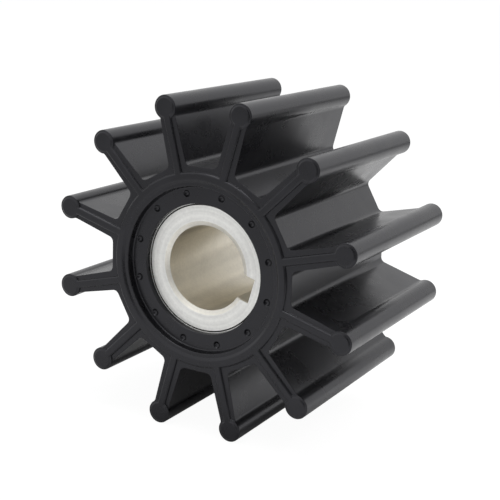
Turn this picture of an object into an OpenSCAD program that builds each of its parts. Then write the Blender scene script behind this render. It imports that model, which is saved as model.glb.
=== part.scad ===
// Flexible pump impeller: a moulded rubber rotor with round-tipped vanes,
// bonded round a keyed metal hub insert. It lies across the shaft axis Y and
// stands on two vane tips. The origin is the middle of the bore.

/* [Overall] */
// Diameter over the vane tips
tip_d = 81; // [78:0.5:88]
// Length along the shaft, over the raised end faces
rotor_len = 50; // [40:0.5:64]
// Number of vanes
vane_n = 12; // [9:1:13]

/* [Vanes] */
// Diameter of the round bead along each vane's tip
bead_d = 5.6; // [5.2:0.1:6.6]
// Rounding of the bead's end edges
bead_edge = 0.15; // [0.1:0.05:0.4]
// Height of the flat cap on each end of a bead
cap_rise = 0.2; // [0.1:0.05:0.5]
// How far the cap's foot stands in from the bead's side
cap_step = 0.35; // [0.2:0.05:0.6]
// How far the cap's side leans in over its height
cap_lean = 0.35; // [0.1:0.05:0.5]
// Vane thickness where it leaves the hub
web_root = 4.7; // [4.2:0.1:5.2]
// Vane thickness just under the bead
web_tip = 4; // [3.6:0.1:4.2]
// Fillet radius between vane and hub
root_fillet = 1.4; // [0.6:0.1:1.8]
// Fillet radius between vane and bead
neck_fillet = 1.3; // [0.6:0.1:1.8]

/* [Rubber hub] */
// Distance across the hub's flats, between opposite vane gaps
hub_flats = 48; // [47:0.25:50]

/* [End faces] */
// Height of the raised ring and ribs above the vanes' end faces
rib_rise = 0.55; // [0.3:0.05:0.9]
// Width of each raised rib at its top, before its edges are rounded
rib_top = 1.7; // [1:0.1:2]
// How far each side of a rib or the ring leans out at its foot
rib_lean = 0.15; // [0.1:0.05:0.45]
// Rounding of each rib's top edges
rib_edge = 0.45; // [0.1:0.05:0.45]
// Rounding of the ring's outer edge
ring_edge = 0.5; // [0.1:0.05:0.5]
// Outer diameter of the raised ring, before its edge is rounded
ring_d = 45.4; // [44.6:0.2:46]
// Inner diameter of the raised ring's flat top
ring_in_d = 42.5; // [41.9:0.1:43.1]
// Width of the slope from the ring's top down to the land
ring_slope = 0.85; // [0.6:0.05:1]
// Drop from the ring's top to the land inside it
land_drop = 0.45; // [0.2:0.05:0.8]
// Diameter of the pocket at the land
pocket_d = 39; // [38.4:0.2:39.8]
// Diameter of the pocket at its floor
pocket_foot_d = 38.5; // [37.5:0.1:38.7]
// Depth of the pocket's floor below the end plane
pocket_depth = 2.05; // [1.5:0.05:2.6]

/* [Pits in the pocket floor] */
// Diameter of the circle that the pits lie on
pit_circle_d = 35.6; // [34.4:0.2:35.8]
// Width of each pit at the floor
pit_d = 1.7; // [1:0.1:1.8]
// Depth of each pit
pit_depth = 0.6; // [0.3:0.05:0.8]

/* [Metal insert] */
// Outer diameter of the insert, where the rubber is bonded to it
insert_d = 30.6; // [29:0.2:31.6]
// Depth of the insert's end below the end plane
insert_depth = 3.45; // [3:0.05:4.5]
// Bore for the shaft
bore_d = 20; // [18:0.5:21]
// Radial width of the bore's chamfer
chamfer_w = 1.1; // [0.5:0.1:1.4]
// Depth of the bore's chamfer along the shaft
chamfer_len = 0.55; // [0.3:0.05:1.2]
// Width of the keyway
key_w = 6; // [5:0.5:7]
// Depth of the keyway, measured from the bore's wall
key_depth = 2.8; // [2:0.1:3]
// Width of the thin rim outside the turned groove in the insert's end
rim_w = 0.2; // [0.1:0.05:0.4]
// Width of the turned groove
groove_w = 0.3; // [0.15:0.05:0.4]
// Depth of the turned groove
groove_depth = 0.5; // [0.2:0.05:0.6]

/* [Hidden] */

arc_fn = 64;
small_fn = 32;
step_deg = 360 / vane_n;
half_len = rotor_len / 2;
web_half = half_len - rib_rise;
insert_len = rotor_len - 2 * insert_depth;
bead_r = bead_d / 2;
bead_x = tip_d / 2 - bead_r;
hub_in = hub_flats / 2;
hub_corner = hub_in / cos(step_deg / 2);
sink = 0.4;
edge_r = 0.22;
lip_r = 0.12;
foot_r = 0.25;
slope_r = 0.6;

// Angle that a rib's side leans, and how far a rounded top edge sets in
side_a = atan(rib_lean / rib_rise);
set_in = (1 - sin(side_a)) / cos(side_a);

// Side line of a vane: through [root_x, web_root / 2] and [tip_x, web_tip / 2]
root_x = hub_in;
tip_x = bead_x - bead_r / 2;
lean = atan((web_root - web_tip) / 2 / (tip_x - root_x));
side_n = [sin(lean), cos(lean)];
side_at = side_n * [root_x, web_root / 2];
flat_n = [cos(step_deg / 2), sin(step_deg / 2)];

// Centre of the fillet circle between the vane's side and the bead
neck_at = side_at + neck_fillet;
neck_b = side_n.y * side_n.y * bead_x + neck_at * side_n.x;
neck_c = pow(side_n.y * bead_x, 2) + neck_at * neck_at - pow(side_n.y * (bead_r + neck_fillet), 2);
neck_x = neck_b - sqrt(neck_b * neck_b - neck_c);
neck_o = [neck_x, (neck_at - side_n.x * neck_x) / side_n.y];
neck_side = neck_o - neck_fillet * side_n;
neck_bead = [bead_x, 0] + (neck_o - [bead_x, 0]) * bead_r / (bead_r + neck_fillet);

// Centre of the fillet circle between the vane's side and the hub's flat
root_a = side_at + root_fillet;
root_b = hub_in + root_fillet;
root_det = side_n.x * flat_n.y - side_n.y * flat_n.x;
root_o = [
  (root_a * flat_n.y - side_n.y * root_b) / root_det,
  (side_n.x * root_b - root_a * flat_n.x) / root_det
];
root_side = root_o - root_fillet * side_n;
root_flat = root_o - root_fillet * flat_n;

// Points of an arc, for turned profiles
function arc_pts(c, r, a0, a1, n = 6) =
  [for (i = [0:n]) c + r * [cos(a0 + (a1 - a0) * i / n), sin(a0 + (a1 - a0) * i / n)]];

// Lays the drawing plane's normal along the shaft, with the drawing's top up
module along_shaft() {
  rotate([90, 0, 0]) children();
}

// The vanes stand half a step off the drawing's own axes
module each_vane() {
  for (i = [0:vane_n - 1])
    rotate([0, 0, (i + 0.5) * step_deg]) children();
}

module both_sides() {
  children();
  mirror([0, 1]) children();
}

module both_ends() {
  children();
  mirror([0, 0, 1]) children();
}

// One vane in section: tapered web, blended into the hub and the bead
module vane_section() {
  polygon([
    [hub_in * 0.8, -web_root / 2],
    [root_x, -web_root / 2],
    [tip_x, -web_tip / 2],
    [bead_x, -web_tip / 4],
    [bead_x, web_tip / 4],
    [tip_x, web_tip / 2],
    [root_x, web_root / 2],
    [hub_in * 0.8, web_root / 2]
  ]);
  both_sides() {
    difference() {
      polygon([[neck_side.x, 0], neck_side, neck_bead, [neck_bead.x, 0]]);
      translate(neck_o) circle(r = neck_fillet, $fn = arc_fn);
    }
    difference() {
      polygon([[hub_in * 0.85, 0], root_side, root_flat]);
      translate(root_o) circle(r = root_fillet, $fn = arc_fn);
    }
  }
}

// Hub between the vanes: one flat to each gap
module hub_section() {
  polygon([for (i = [0:vane_n - 1])
    hub_corner * [cos((i + 0.5) * step_deg), sin((i + 0.5) * step_deg)]]);
}

// Round bead along the vane's tip, with a low flat cap on each end
module bead() {
  full = half_len - cap_rise;
  cap_foot = bead_r - cap_step;
  cap_top = cap_foot - cap_lean;
  translate([bead_x, 0, 0])
    rotate_extrude($fn = arc_fn)
      polygon(concat(
        [[0, -half_len], [cap_top, -half_len], [cap_foot, -full]],
        arc_pts([bead_r - bead_edge, -full + bead_edge], bead_edge, -90, 0, 3),
        arc_pts([bead_r - bead_edge, full - bead_edge], bead_edge, 0, 90, 3),
        [[cap_foot, full], [cap_top, half_len], [0, half_len]]
      ));
}

// Raised rib that runs down the middle of the vane's end face
module rib() {
  rib_from = ring_in_d / 2 + 0.5;
  foot = rib_top / 2 + rib_lean * (1 + sink / rib_rise);
  round_at = [rib_top / 2 - rib_edge * set_in, -rib_edge];
  translate([rib_from, 0, half_len])
    rotate([90, 0, 90])
      linear_extrude(height = bead_x - rib_from)
        polygon(concat(
          [[-foot, -rib_rise - sink], [foot, -rib_rise - sink]],
          arc_pts(round_at, rib_edge, side_a, 90, 4),
          arc_pts([-round_at.x, round_at.y], rib_edge, 90, 180 - side_a, 4)
        ));
}

// Raised ring that the ribs meet
module ring() {
  top = ring_d / 2;
  foot = top + rib_lean;
  rotate_extrude($fn = arc_fn * 2)
    polygon(concat(
      [[pocket_foot_d / 2 - 1, web_half - sink * 4],
       [foot + rib_lean * sink / rib_rise, web_half - sink],
       [foot, web_half]],
      arc_pts([top - ring_edge * set_in, half_len - ring_edge], ring_edge, side_a, 90),
      [[pocket_foot_d / 2 - 1, half_len]]
    ));
}

// Space turned out of each end, down to the insert's own end
module pocket() {
  in = ring_in_d / 2;
  land = half_len - land_drop;
  floor_z = half_len - pocket_depth;
  rotate_extrude($fn = arc_fn * 2)
    polygon(concat(
      [[0, floor_z - 1], [insert_d / 2, floor_z - 1]],
      arc_pts([insert_d / 2 + lip_r, floor_z - lip_r], lip_r, 180, 90, 4),
      arc_pts([pocket_foot_d / 2 - foot_r, floor_z + foot_r], foot_r, -90, -10),
      arc_pts([pocket_d / 2 + edge_r, land - edge_r], edge_r, 170, 90),
      [[in - ring_slope, land]],
      arc_pts([in, half_len - slope_r], slope_r, 125, 90, 4),
      [[in + edge_r, half_len + 1], [0, half_len + 1]]
    ));
}

// Small round pits in the pocket's floor, one under each vane
module pits() {
  ball_r = (pit_d * pit_d / 4 + pit_depth * pit_depth) / (2 * pit_depth);
  each_vane()
    translate([pit_circle_d / 2, 0, half_len - pocket_depth - pit_depth + ball_r])
      sphere(r = ball_r, $fn = small_fn);
}

module rubber_rotor() {
  color("#2c2c2e")
    along_shaft()
      difference() {
        union() {
          linear_extrude(height = 2 * web_half, center = true) {
            hub_section();
            each_vane() vane_section();
          }
          each_vane() bead();
          both_ends() {
            ring();
            each_vane() rib();
          }
        }
        cylinder(d = insert_d, h = rotor_len, center = true, $fn = arc_fn * 2);
        both_ends() {
          pocket();
          pits();
        }
      }
}

module hub_insert() {
  end = insert_len / 2;
  out = insert_d / 2;
  bore = bore_d / 2;
  groove_out = out - rim_w;
  groove_in = groove_out - groove_w;
  color("#c8c8c4")
    along_shaft()
      difference() {
        rotate_extrude($fn = arc_fn * 2)
          polygon([
            [bore, -end + chamfer_len],
            [bore + chamfer_w, -end],
            [groove_in, -end],
            [groove_in, -end + groove_depth],
            [groove_out, -end + groove_depth],
            [groove_out, -end],
            [out, -end],
            [out, end],
            [groove_out, end],
            [groove_out, end - groove_depth],
            [groove_in, end - groove_depth],
            [groove_in, end],
            [bore + chamfer_w, end],
            [bore, end - chamfer_len]
          ]);
        // The keyway lines up with a vane, just below the level of the shaft
        rotate([0, 0, -step_deg / 2])
          translate([0, -key_w / 2, -end - 1])
            cube([bore + key_depth, key_w, insert_len + 2]);
      }
}

rubber_rotor();
hub_insert();
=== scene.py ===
# %% [markdown]
# # Flexible pump impeller
# A black rubber rotor with twelve round-tipped vanes is moulded round a keyed metal hub insert.
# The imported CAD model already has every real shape, so it is loaded as a fixed frame and nothing
# is moved. The work in Blender is what a shape alone can't give: the satin skin of moulded rubber,
# the fine rings of turned metal, the duller bore, and the light of a product photograph.

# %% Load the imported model
import bpy
import bmesh
from math import pi
from mathutils import Matrix, Vector


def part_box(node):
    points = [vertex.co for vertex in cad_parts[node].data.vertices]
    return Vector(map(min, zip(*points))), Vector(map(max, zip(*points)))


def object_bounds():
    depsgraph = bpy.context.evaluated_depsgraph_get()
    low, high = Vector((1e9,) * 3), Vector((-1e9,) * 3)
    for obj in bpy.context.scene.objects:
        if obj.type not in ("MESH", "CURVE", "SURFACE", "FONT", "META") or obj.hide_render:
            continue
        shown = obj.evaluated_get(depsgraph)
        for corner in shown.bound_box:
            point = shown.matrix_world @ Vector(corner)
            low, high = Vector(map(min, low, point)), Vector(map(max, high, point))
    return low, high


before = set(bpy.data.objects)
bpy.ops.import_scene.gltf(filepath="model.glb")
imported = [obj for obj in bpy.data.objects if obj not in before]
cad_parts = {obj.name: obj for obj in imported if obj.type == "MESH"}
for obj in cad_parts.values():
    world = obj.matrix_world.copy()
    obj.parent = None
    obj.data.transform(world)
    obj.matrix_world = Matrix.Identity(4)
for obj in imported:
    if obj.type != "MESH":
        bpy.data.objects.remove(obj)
cad_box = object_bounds()
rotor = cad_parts["rubber_rotor"]
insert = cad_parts["hub_insert"]
mm = 0.001
print("CAD box in mm:", [round(c / mm, 2) for corner in cad_box for c in corner])
print("triangles:", {o.name: len(o.data.polygons) for o in (rotor, insert)})

# %% [markdown]
# Colours are given as sRGB hex values, the way a paint program shows them. Shaders work in
# linear light, so one function turns a hex value into the linear numbers that a socket needs.

# %% Colour helper
def linear(hex_colour):
    """Turn a hex colour such as #101012 into linear red, green, blue and an alpha of 1."""
    values = [int(hex_colour[i:i + 2], 16) / 255 for i in (1, 3, 5)]
    return tuple(v / 12.92 if v <= 0.04045 else ((v + 0.055) / 1.055) ** 2.4
                 for v in values) + (1.0,)


print("rubber black in linear light:", [round(v, 4) for v in linear("#101012")[:3]])

# %% [markdown]
# A material is a small graph of nodes. One helper adds any kind of node: settings that name a
# socket set its value, the others set a property, and links join earlier nodes to its inputs.
# Math and Mix nodes have several sockets of one name, so those are reached by their number. A Mix
# node has one pair of inputs for plain numbers and another for colours, and an output for each.

# %% Node helper
number_a, number_b = 2, 3
colour_a, colour_b, colour_out = 6, 7, 2


def add(tree, kind, links=(), numbered=(), **settings):
    """Add one node, set its properties and sockets, and link its inputs."""
    node = tree.nodes.new(kind)
    for name, value in settings.items():
        if hasattr(node, name):
            setattr(node, name, value)
        else:
            node.inputs[name.replace("_", " ")].default_value = value
    for socket, value in numbered:
        node.inputs[socket].default_value = value
    for source, socket in links:
        tree.links.new(source, node.inputs[socket])
    return node


def new_material(name):
    """Make a material whose graph is still empty."""
    material = bpy.data.materials.new(name)
    material.use_nodes = True
    material.node_tree.nodes.clear()
    return material


def per_mm(size):
    """Noise scale for features of this size in millimetres, on coordinates in metres."""
    return 1 / (size * mm)


print("noise scale for 1 mm features:", per_mm(1))

# %% [markdown]
# ## Moulded nitrile rubber
# The rotor is pressed in a heated steel mould, so its skin is a print of that mould: smooth and
# satin, never mirror-like. From a step away the eye reads three things. The flanks of the vanes
# mirror the white room only at a low angle, the way any black plastic or rubber does, and that is
# the Fresnel term of a plain 1.5 refractive index. Each reflection has a soft edge, which is
# roughness near 0.3. And it is never quite even: the skin has a fine grain, slow waves where the
# rubber shrank as it cooled, and a faint grey bloom that wax in the rubber brings to the surface.
# An image would need unwrapping, so all of it is noise on Object coordinates, sized in millimetres.

# %% Rubber: where the pattern sits
rubber = new_material("moulded_nitrile_rubber")
t = rubber.node_tree
place = add(t, "ShaderNodeTexCoord").outputs["Object"]

# The mould grain is about 0.1 mm, too fine to show here, so it is drawn 0.35 mm coarse.
grain = add(t, "ShaderNodeTexNoise", [(place, "Vector")],
            Scale=per_mm(0.35), Detail=3.0, Roughness=0.6)
# Shrink waves are about 7 mm long.
waves = add(t, "ShaderNodeTexNoise", [(place, "Vector")], Scale=per_mm(7), Detail=1.0)
# Rubber flows along the vanes as the mould fills, and leaves faint streaks along the shaft. They
# are 0.8 mm wide, and the small scale along Y makes them 10 mm long.
stretched = add(t, "ShaderNodeMapping", [(place, "Vector")], Scale=(1.0, 0.08, 1.0))
streaks = add(t, "ShaderNodeTexNoise", [(stretched.outputs[0], "Vector")],
              Scale=per_mm(0.8), Detail=2.0)
# Bloom lies in cloudy patches about 9 mm wide.
cloud = add(t, "ShaderNodeTexNoise", [(place, "Vector")],
            Scale=per_mm(9), Detail=3.0, Roughness=0.6)
print("rubber patterns:", [n.name for n in (grain, waves, streaks, cloud)])

# %% [markdown]
# The end plates of the mould were turned on a lathe, and their rings are pressed into the flat
# land and pocket at each end of the hub. The distance from the shaft gives the rings: a Mapping
# node flattens the position onto the end plane, and its length is the radius.

# %% Rubber: rings from the turned end plates
flattened = add(t, "ShaderNodeMapping", [(place, "Vector")], Scale=(1.0, 0.0, 1.0))
radius = add(t, "ShaderNodeVectorMath", [(flattened.outputs[0], 0)],
             operation="LENGTH").outputs["Value"]
# A turning feed of 0.1 mm is drawn as 0.4 mm rings, so that it shows.
plate_rings = add(t, "ShaderNodeTexNoise", [(radius, "W")], noise_dimensions="1D",
                  Scale=per_mm(0.4), Detail=1.0)
split = add(t, "ShaderNodeSeparateXYZ", [(place, "Vector")])
end_distance = add(t, "ShaderNodeMath", [(split.outputs["Y"], 0)], operation="ABSOLUTE")
# Only the hub's end faces show the lathe: inside this radius, and beyond this distance from the
# middle along the shaft.
turned_r, turned_from = 23 * mm, 22 * mm
near_end = add(t, "ShaderNodeMath", [(end_distance.outputs[0], 0)], [(1, turned_from)],
               operation="GREATER_THAN")
near_hub = add(t, "ShaderNodeMath", [(radius, 0)], [(1, turned_r)], operation="LESS_THAN")
turned_zone = add(t, "ShaderNodeMath", [(near_end.outputs[0], 0), (near_hub.outputs[0], 1)],
                  operation="MULTIPLY")
ring_height = add(t, "ShaderNodeMath", [(plate_rings.outputs[0], 0), (turned_zone.outputs[0], 1)],
                  operation="MULTIPLY")
print("turned zone in mm: radius under", round(turned_r / mm), "and beyond",
      round(turned_from / mm), "from the middle")

# %% [markdown]
# Moulded edges are never razor sharp, because rubber doesn't fill a sharp corner of the mould.
# The CAD model has the larger roundings. A Bevel node bends the shading normal over the last
# 0.25 mm of every other edge, which catches a thin line of light with no extra faces. The bumps
# are stacked after it, each with its real height in metres.

# %% Rubber: relief
soft_edge = add(t, "ShaderNodeBevel", samples=6, Radius=0.25 * mm)
relief = soft_edge.outputs[0]
for pattern, height in ((waves, 0.03 * mm), (streaks, 0.004 * mm),
                        (ring_height, 0.004 * mm), (grain, 0.0006 * mm)):
    relief = add(t, "ShaderNodeBump", [(pattern.outputs[0], "Height"), (relief, "Normal")],
                 Strength=1.0, Distance=height).outputs[0]
print("four layers of relief on the rubber")

# %% [markdown]
# The cloud of wax bloom drives two things at once. Where it is thick the black is a little
# greyer, and the gloss is a little duller. The wax also scatters blue light a little more, which
# cools every reflection by a trace.

# %% Rubber: colour, gloss and surface
bloom = add(t, "ShaderNodeMapRange", [(cloud.outputs[0], "Value")], From_Min=0.4, From_Max=0.75)
tone = add(t, "ShaderNodeMix", [(bloom.outputs[0], 0)],
           [(colour_a, linear("#101012")), (colour_b, linear("#18181b"))], data_type="RGBA")
dull = add(t, "ShaderNodeMapRange", [(cloud.outputs[0], "Value")],
           From_Min=0.3, From_Max=0.7, To_Min=0.24, To_Max=0.34)
skin = add(t, "ShaderNodeBsdfPrincipled",
           [(tone.outputs[colour_out], "Base Color"), (dull.outputs[0], "Roughness"),
            (relief, "Normal")], IOR=1.5, Specular_Tint=linear("#f6f6ff"))
add(t, "ShaderNodeOutputMaterial", [(skin.outputs[0], "Surface")])
rotor.material_slots[0].material = rubber
print("rubber nodes:", len(t.nodes))

# %% [markdown]
# ## Turned metal insert
# The insert is stainless steel, cut on a lathe. Its end face carries fine rings round the shaft,
# which spread each reflection into a soft white sheen, and a thin groove near its rim. The small
# chamfer at the bore is cut with a shaped tool. The bore and the keyway are seen in their own
# reflected light, and their tints are painted darker and warmer than the face: painted shade.
# One material can hold all five zones, painted shade and all, because each has its own place: the
# distance from the shaft and the distance from the middle tell them apart, with no unwrapping and
# no extra slots.
# Each test gives 1 beyond its limit and 0 short of it, and a Mix node uses that to choose.

# %% Steel: zones by radius and depth
steel = new_material("turned_stainless_steel")
t = steel.node_tree
place = add(t, "ShaderNodeTexCoord").outputs["Object"]
flattened = add(t, "ShaderNodeMapping", [(place, "Vector")], Scale=(1.0, 0.0, 1.0))
radius = add(t, "ShaderNodeVectorMath", [(flattened.outputs[0], 0)],
             operation="LENGTH").outputs["Value"]
split = add(t, "ShaderNodeSeparateXYZ", [(place, "Vector")])
along = split.outputs["Y"]
depth = add(t, "ShaderNodeMath", [(along, 0)], operation="ABSOLUTE").outputs[0]

face_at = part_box("hub_insert")[1].y
chamfer_len, bore_r, groove_r = 0.55 * mm, 10 * mm, 14.8 * mm
# Each limit stays a few hundredths of a millimetre off the edge that it follows, so that no
# surface lies exactly on it. The chamfer's zone takes in the face, which is laid over it later.
zone = {}
for name, measure, limit in (("face", depth, face_at - 0.02 * mm),
                             ("chamfer", depth, face_at - chamfer_len - 0.01 * mm),
                             ("keyway", radius, bore_r + 0.04 * mm),
                             ("groove", radius, groove_r - 0.05 * mm)):
    zone[name] = add(t, "ShaderNodeMath", [(measure, 0)], [(1, limit)],
                     operation="GREATER_THAN").outputs[0]
print("insert end face at", round(face_at / mm, 3), "mm from the middle, zones:", list(zone))

# %% [markdown]
# Tool marks follow the cut. On the face the tool moved outwards, so the marks are rings of
# changing radius. In the bore it moved along the shaft, so they are rings of changing depth. The
# keyway was broached, and its scratches run along the shaft.

# %% Steel: tool marks
# A turning feed of about 0.12 mm is too fine to show here, so the rings are drawn 0.3 mm coarse.
face_rings, bore_rings = [add(t, "ShaderNodeTexNoise", [(measure, "W")], noise_dimensions="1D",
                              Scale=per_mm(0.3), Detail=3.0, Roughness=0.7)
                          for measure in (radius, along)]
drawn_out = add(t, "ShaderNodeMapping", [(place, "Vector")], Scale=(1.0, 0.04, 1.0))
broach_lines = add(t, "ShaderNodeTexNoise", [(drawn_out.outputs[0], "Vector")],
                   Scale=per_mm(0.5), Detail=3.0)
marks = add(t, "ShaderNodeMix", [(zone["keyway"], 0), (bore_rings.outputs[0], number_a),
                                 (broach_lines.outputs[0], number_b)])
marks = add(t, "ShaderNodeMix", [(zone["face"], 0), (marks.outputs[0], number_a),
                                 (face_rings.outputs[0], number_b)])
nicks = add(t, "ShaderNodeTexNoise", [(place, "Vector")],
            Scale=per_mm(1.6), Detail=6.0, Roughness=0.75)
print("tool marks: rings 0.3 mm, broach lines 0.5 mm, nicks 1.6 mm")

# %% [markdown]
# Turned edges are sharper than moulded ones, so the Bevel node rounds only 0.1 mm of them. The
# marks are 0.01 mm high and the nicks less than half of that.

# %% Steel: relief
soft_edge = add(t, "ShaderNodeBevel", samples=6, Radius=0.1 * mm)
relief = soft_edge.outputs[0]
for pattern, height in ((nicks, 0.004 * mm), (marks, 0.010 * mm)):
    relief = add(t, "ShaderNodeBump", [(pattern.outputs[0], "Height"), (relief, "Normal")],
                 Strength=1.0, Distance=height).outputs[0]
print("two layers of relief on the steel")

# %% [markdown]
# A metal's colour is the tint of its mirror image, so each zone gets a tint of its own: lightest on
# the open face and darker and warmer in the bore and the keyway, which is painted shade there. They
# are laid over one another, and the last one that holds at a place is the one that shows there.

# %% Steel: colour of each zone, with painted shade and a painted highlight
tint_with_painted_shade = add(t, "ShaderNodeMix", [(zone["keyway"], 0)],
           [(colour_a, linear("#e9e3d5")), (colour_b, linear("#d9d3c4"))],
           data_type="RGBA").outputs[colour_out]
# The groove near the rim is painted nearly black: painted shade for that crease.
# The chamfer's lighter, warm tint is a painted highlight all round it.
for name, colour in (("chamfer", "#f2efe6"), ("groove", "#34322f"), ("face", "#fbfbf8")):
    tint_with_painted_shade = add(t, "ShaderNodeMix", [(zone[name], 0), (tint_with_painted_shade, colour_a)],
               [(colour_b, linear(colour))], data_type="RGBA").outputs[colour_out]
print("steel tints laid over one another: bore, keyway, chamfer, groove, face")

# %% [markdown]
# Bare metal is never even. Handling leaves cloudy smudges a few millimetres wide, and fine specks.
# The face and the chamfer also get broader rings, about 0.8 mm apart, as a tool that shakes a
# little leaves them. The bore and the keyway get light and dark bands along the shaft: painted
# reflection.
# Each noise mostly stays between 0.3 and 0.7, so it is mapped from there to the shades that it
# stands for, and the shades are multiplied.

# %% Steel: uneven shades and painted reflection bands
smudge = add(t, "ShaderNodeTexNoise", [(place, "Vector")], Scale=per_mm(5), Detail=4.0)
specks = add(t, "ShaderNodeTexNoise", [(place, "Vector")],
             Scale=per_mm(0.7), Detail=2.0, Roughness=0.7)
coarse_rings = add(t, "ShaderNodeTexNoise", [(radius, "W")], noise_dimensions="1D",
                   Scale=per_mm(0.8), Detail=2.0)
# The bands are painted reflection. The offset picks a stretch of the noise whose bands lie about as
# they do in the photograph.
banded = add(t, "ShaderNodeMapping", [(place, "Vector")],
             Location=(30 * mm, 0.0, 0.0), Scale=(1.0, 0.06, 1.0))
painted_reflection_bands = add(t, "ShaderNodeTexNoise", [(banded.outputs[0], "Vector")],
            Scale=per_mm(3.5), Detail=1.5)
mapped = {}
for name, noise, low, high in (("painted_reflection_bands", painted_reflection_bands, 0.76, 1.08), ("rings", coarse_rings, 0.93, 1.02),
                               ("smudge", smudge, 0.93, 1.02), ("specks", specks, 0.93, 1.02),
                               ("gloss", marks, -0.06, 0.06)):
    mapped[name] = add(t, "ShaderNodeMapRange", [(noise.outputs[0], "Value")],
                       From_Min=0.3, From_Max=0.7, To_Min=low, To_Max=high).outputs[0]
# The bore and keyway take the painted reflection bands, the chamfer and face the broader rings.
shade = add(t, "ShaderNodeMix", [(zone["chamfer"], 0), (mapped["painted_reflection_bands"], number_a),
                                 (mapped["rings"], number_b)]).outputs[0]
for name in ("smudge", "specks"):
    shade = add(t, "ShaderNodeMath", [(shade, 0), (mapped[name], 1)],
                operation="MULTIPLY").outputs[0]
shaded_tint = add(t, "ShaderNodeVectorMath", [(tint_with_painted_shade, 0), (shade, "Scale")], operation="SCALE")
print("ranges mapped from noise:", list(mapped))

# %% [markdown]
# The fine rings blur a reflection across themselves and not along, so it fans out from the shaft.
# The Tangent node gives the direction round the shaft, and a quarter turn of it, the anisotropic
# rotation, points that blur away from the shaft. The amount is the same all over, so it is set on
# the shader itself.

# %% Steel: gloss and surface
base_gloss = add(t, "ShaderNodeMix", [(zone["face"], 0)], [(number_a, 0.42), (number_b, 0.46)])
gloss = add(t, "ShaderNodeMath", [(base_gloss.outputs[0], 0), (mapped["gloss"], 1)],
            operation="ADD")
around = add(t, "ShaderNodeTangent", direction_type="RADIAL", axis="Y")
metal = add(t, "ShaderNodeBsdfPrincipled",
            [(shaded_tint.outputs[0], "Base Color"), (gloss.outputs[0], "Roughness"),
             (relief, "Normal"), (around.outputs[0], "Tangent")],
            Metallic=1.0, Anisotropic=0.55, Anisotropic_Rotation=0.25)
add(t, "ShaderNodeOutputMaterial", [(metal.outputs[0], "Surface")])
insert.material_slots[0].material = steel
print("steel nodes:", len(t.nodes))

# %% [markdown]
# ## White studio
# The photograph is a product shot on white, and a wide sheet of white paper is the floor. Paper
# alone would show a strong shadow, so part of it is a plain white of the same brightness
# everywhere. For a camera ray that part is 0.85, and with the paper's own shading it comes to
# white with only a trace of the shadow. Glossy rays see nearly all of the real shading, so the
# undersides of the vanes mirror the dark patch beneath the rotor. The plain white is never a
# light: only the camera and reflections see it.

# %% Paper
paper = new_material("matt_white_paper")
t = paper.node_tree
plain_white, camera_part, mirror_part = 1.12, 0.85, 0.05
place = add(t, "ShaderNodeTexCoord").outputs["Object"]
fibre = add(t, "ShaderNodeTexNoise", [(place, "Vector")], Scale=per_mm(1.5), Detail=3.0)
tooth = add(t, "ShaderNodeBump", [(fibre.outputs[0], "Height")], Strength=1.0, Distance=0.01 * mm)
shaded = add(t, "ShaderNodeBsdfDiffuse", [(tooth.outputs[0], "Normal")], Color=linear("#dddddd"))
white = add(t, "ShaderNodeEmission", Strength=plain_white)
ray = add(t, "ShaderNodeLightPath")
camera_share = add(t, "ShaderNodeMath", [(ray.outputs["Is Camera Ray"], 0)], [(1, camera_part)],
                   operation="MULTIPLY")
mirrored = add(t, "ShaderNodeMath", [(ray.outputs["Is Glossy Ray"], 0),
                                     (ray.outputs["Is Transmission Ray"], 1)],
               operation="MAXIMUM")
mirror_share = add(t, "ShaderNodeMath", [(mirrored.outputs[0], 0)], [(1, mirror_part)],
                   operation="MULTIPLY")
share = add(t, "ShaderNodeMath", [(camera_share.outputs[0], 0), (mirror_share.outputs[0], 1)],
            operation="MAXIMUM")
surface = add(t, "ShaderNodeMixShader", [(share.outputs[0], "Fac"), (shaded.outputs[0], 1),
                                         (white.outputs[0], 2)])
add(t, "ShaderNodeOutputMaterial", [(surface.outputs[0], "Surface")])
print("plain white that the camera sees:", round(camera_part * plain_white, 3))

# %% [markdown]
# The rotor lies on its beads, so the paper is as high as the lowest point of the CAD box. It
# reaches 4 m each way, far enough that its edge lies above the top of the picture.

# %% Floor
floor_z = cad_box[0].z


def add_sheet(name, shape, material):
    """Turn a flat bmesh into a stage item of one material."""
    data = bpy.data.meshes.new(name)
    shape.to_mesh(data)
    shape.free()
    data.materials.append(material)
    sheet = bpy.data.objects.new(name, data)
    bpy.context.scene.collection.objects.link(sheet)
    return sheet


shape = bmesh.new()
bmesh.ops.create_grid(shape, x_segments=1, y_segments=1, size=4)
bmesh.ops.translate(shape, vec=(0, 0, floor_z), verts=shape.verts)
add_sheet("studio_floor", shape, paper)
print("floor height in mm:", round(floor_z / mm, 2))

# %% [markdown]
# In the photograph every slope that faces the camera's right is darker than the flat beside it, so
# something darker than the white tent stood there. A grey card does that in a studio: black rubber
# needs something darker to mirror, or its ribs and rings vanish into the flat. The card stands
# upright on the floor and is only seen in reflections.

# %% Grey card
flock = new_material("grey_flocked_card")
t = flock.node_tree
place = add(t, "ShaderNodeTexCoord").outputs["Object"]
nap = add(t, "ShaderNodeTexNoise", [(place, "Vector")], Scale=per_mm(1), Detail=2.0)
tooth = add(t, "ShaderNodeBump", [(nap.outputs[0], "Height")], Strength=1.0, Distance=0.1 * mm)
matt = add(t, "ShaderNodeBsdfDiffuse", [(tooth.outputs[0], "Normal")], Color=linear("#8c8c8c"))
add(t, "ShaderNodeOutputMaterial", [(matt.outputs[0], "Surface")])

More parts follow.
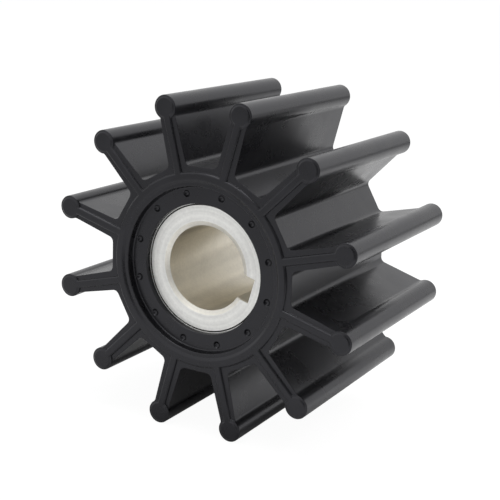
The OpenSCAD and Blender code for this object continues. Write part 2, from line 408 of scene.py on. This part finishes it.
# The card starts as a unit square, and its corners are moved to two points on the floor and up.
ends = (Vector((0.032, -0.16, floor_z)), Vector((0.26, 0.03, floor_z)))
card_height = 0.28
shape = bmesh.new()
bmesh.ops.create_grid(shape, x_segments=1, y_segments=1, size=0.5)
for v in shape.verts:
    v.co = ends[0].lerp(ends[1], v.co.x + 0.5) + Vector((0, 0, card_height * (v.co.y + 0.5)))
card = add_sheet("grey_card", shape, flock)
card.visible_camera = card.visible_diffuse = card.visible_shadow = False
print("card:", [round(c / mm) for c in card.dimensions], "mm")

# %% [markdown]
# The world is the white tent round the table. Seen by the camera or in a reflection it is plain
# white, a strength of 1. As a light on matt surfaces it is weaker, and the softboxes add the rest,
# so that together a colour renders about as it is written.

# %% World
tent_light = 0.5
world = bpy.data.worlds.new("white_tent")
world.use_nodes = True
bpy.context.scene.world = world
t = world.node_tree
t.nodes.clear()
ray = add(t, "ShaderNodeLightPath")
seen = ray.outputs["Is Camera Ray"]
for kind in ("Is Glossy Ray", "Is Transmission Ray"):
    seen = add(t, "ShaderNodeMath", [(seen, 0), (ray.outputs[kind], 1)],
               operation="MAXIMUM").outputs[0]
level = add(t, "ShaderNodeMapRange", [(seen, "Value")], To_Min=tent_light)
sky = add(t, "ShaderNodeBackground", [(level.outputs[0], "Strength")], Color=linear("#ffffff"))
add(t, "ShaderNodeOutputWorld", [(sky.outputs[0], "Surface")])
print("world strength on matt surfaces:", tent_light)

# %% [markdown]
# A square softbox hangs over the rotor. It draws the thin bright lines on the ring's outer edge
# and on the upper edges of the ribs, and it makes the soft shadow on the floor. An area lamp's
# brightness is its power divided by pi and by its area, so the helper takes the brightness.
# The floor behind and beside the rotor has a softbox of its own, because the flanks and beads of
# the vanes mirror it. That lamp itself is kept out of the picture and out of reflections.

# %% Softboxes
def softbox(name, spot, aim, size, brightness):
    """Hang a rectangular lamp at a spot and point it at its aim."""
    light = bpy.data.lights.new(name, "AREA")
    light.shape = "RECTANGLE"
    light.size, light.size_y = size
    light.energy = brightness * pi * size[0] * size[1]
    holder = bpy.data.objects.new(name, light)
    holder.location = spot
    holder.rotation_mode = "QUATERNION"
    holder.rotation_quaternion = (Vector(aim) - Vector(spot)).to_track_quat("-Z", "Y")
    bpy.context.scene.collection.objects.link(holder)
    print(name, "power in watts:", round(light.energy, 3))
    return holder


softbox("overhead_softbox", spot=(-0.03, -0.02, 0.5), aim=(0, 0, 0),
        size=(0.34, 0.34), brightness=3.6)
backdrop = softbox("backdrop_softbox", spot=(0.12, 0.14, 0.25), aim=(0.12, 0.13, floor_z),
                   size=(0.25, 0.25), brightness=4.3)
backdrop.visible_glossy = backdrop.visible_camera = False

# %% [markdown]
# ## Camera
# The view was fitted to the photograph: the round bore and ring, the ends of the vanes and the
# depth of the hub give the distance, the angles and the lens. A rotation matrix needs three
# directions, the camera's right, its up and the way back from what it looks at.

# %% Camera
camera = bpy.data.cameras.new("product_camera")
camera.sensor_width = 36
camera.lens = 83.126
camera.clip_start, camera.clip_end = 0.01, 20
right = (0.86575645, 0.49903033, 0.0378748)
up = (-0.15813728, 0.20097575, 0.96674782)
back = (0.47482457, -0.84295758, 0.25291135)
tripod = bpy.data.objects.new("product_camera", camera)
tripod.rotation_mode = "QUATERNION"
tripod.rotation_quaternion = Matrix((right, up, back)).transposed().to_quaternion()
tripod.location = (0.133895, -0.238619, 0.071430)
bpy.context.scene.collection.objects.link(tripod)
bpy.context.scene.camera = tripod
print("camera distance in mm:", round(tripod.location.length / mm, 1))

# %% [markdown]
# The Standard view shows colours as they are written.

# %% Finish
bpy.context.scene.view_settings.view_transform = "Standard"
